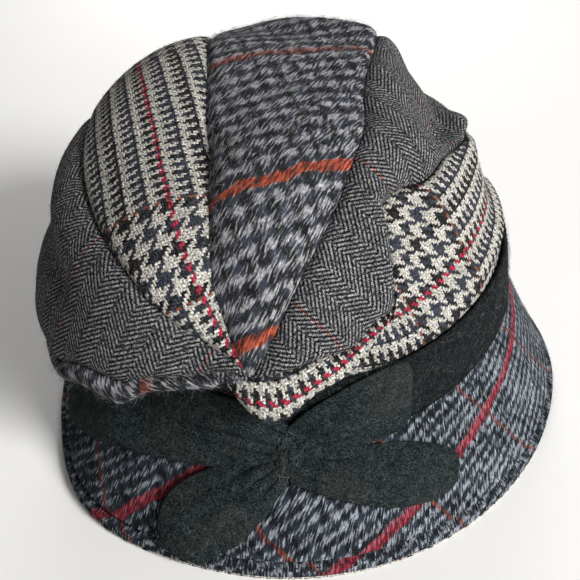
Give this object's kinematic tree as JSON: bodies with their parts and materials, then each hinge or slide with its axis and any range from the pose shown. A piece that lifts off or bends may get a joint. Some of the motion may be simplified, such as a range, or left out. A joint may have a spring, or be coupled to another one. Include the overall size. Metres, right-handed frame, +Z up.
{
  "type": "wool hat",
  "caption": "Soft patchwork wool hat with a slouching gored crown, a brushed band tied in a flat bow, and a sloping brim that stands on its rim.",
  "frame": {"origin": "middle of the hat's base, on the plane that its rim stands on", "axes": "+Z up from the rim to the crown, -Y towards the front, +X towards the right as the front faces the viewer"},
  "size_m": [0.232, 0.2416, 0.1499],
  "materials": {
    "herringbone_tweed": "woven wool, charcoal and grey herringbone",
    "glen_check_tweed": "woven wool, brown and cream check with a fine red line",
    "brushed_plaid": "brushed wool, blue-grey with orange stripes",
    "black_wool": "brushed black wool",
    "brim_plaid": "brushed wool, navy plaid with red and orange stripes"
  },
  "bodies": {
    "root": {"gore_herringbone_left": "herringbone_tweed", "gore_herringbone_right": "herringbone_tweed", "gore_glen_left": "glen_check_tweed", "gore_glen_right": "glen_check_tweed", "gore_plaid_centre": "brushed_plaid", "gore_plaid_front": "brushed_plaid", "headband": "black_wool", "bow_left_loop": "black_wool", "bow_left_tail": "black_wool", "bow_right_loop": "black_wool", "bow_right_tail": "black_wool", "bow_knot": "black_wool", "brim": "brim_plaid"}
  },
  "joints": []
}
